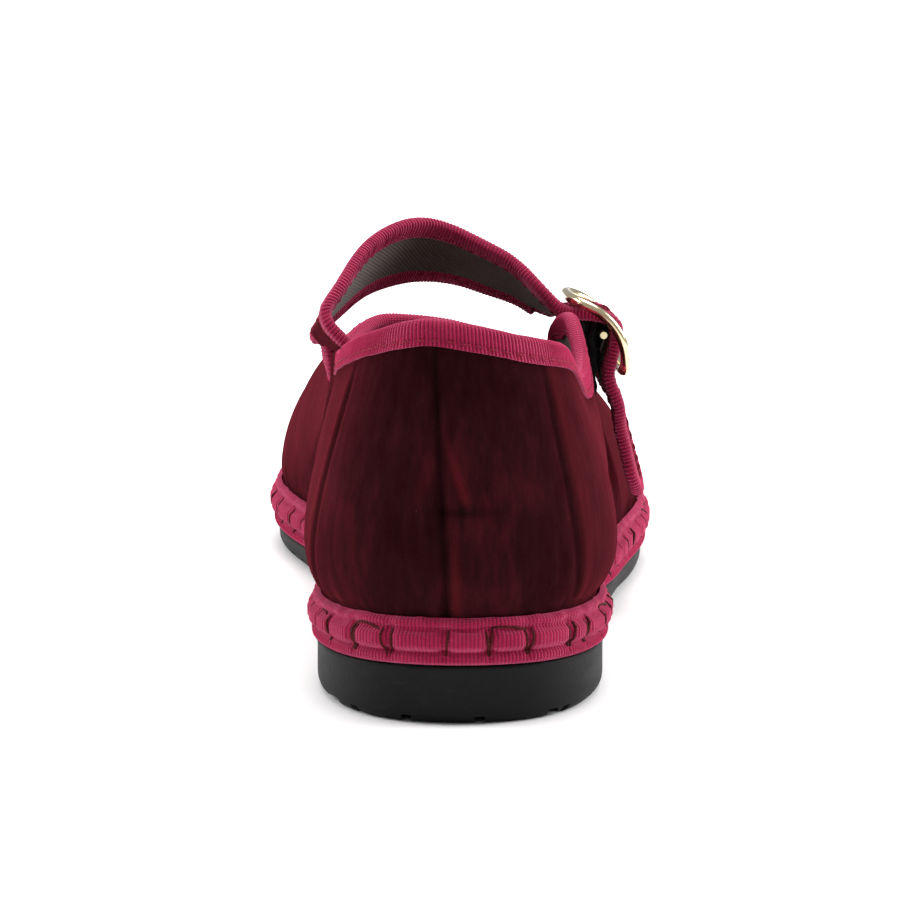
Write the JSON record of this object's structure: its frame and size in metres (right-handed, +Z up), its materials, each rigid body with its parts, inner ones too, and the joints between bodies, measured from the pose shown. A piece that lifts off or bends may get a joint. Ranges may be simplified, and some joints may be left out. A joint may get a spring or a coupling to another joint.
{
  "type": "mary jane flat",
  "caption": "Right mary jane flat with a velvet upper, taped edges, a hand-sewn band, a low wedge rubber sole and a buckled instep strap.",
  "frame": {"origin": "middle of the footprint, on the floor under the sole", "axes": "+Z up, +Y towards the toe, +X towards the outer side of the foot"},
  "size_m": [0.0864, 0.2536, 0.0881],
  "materials": {
    "black_rubber": "matte",
    "raspberry_grosgrain": "ribbed tape",
    "dark_twill": "woven lining",
    "burgundy_velvet": "velvet pile",
    "pale_brass": "polished",
    "black_elastic": "woven elastic"
  },
  "bodies": {
    "root": {"outsole": "black_rubber", "foxing_band": "raspberry_grosgrain", "insole": "dark_twill", "upper": "burgundy_velvet", "throat_binding": "raspberry_grosgrain", "collar_binding": "raspberry_grosgrain", "strap": "burgundy_velvet", "strap_binding": "raspberry_grosgrain", "buckle_frame": "pale_brass", "buckle_bar": "pale_brass", "elastic_tab": "black_elastic"}
  },
  "joints": []
}
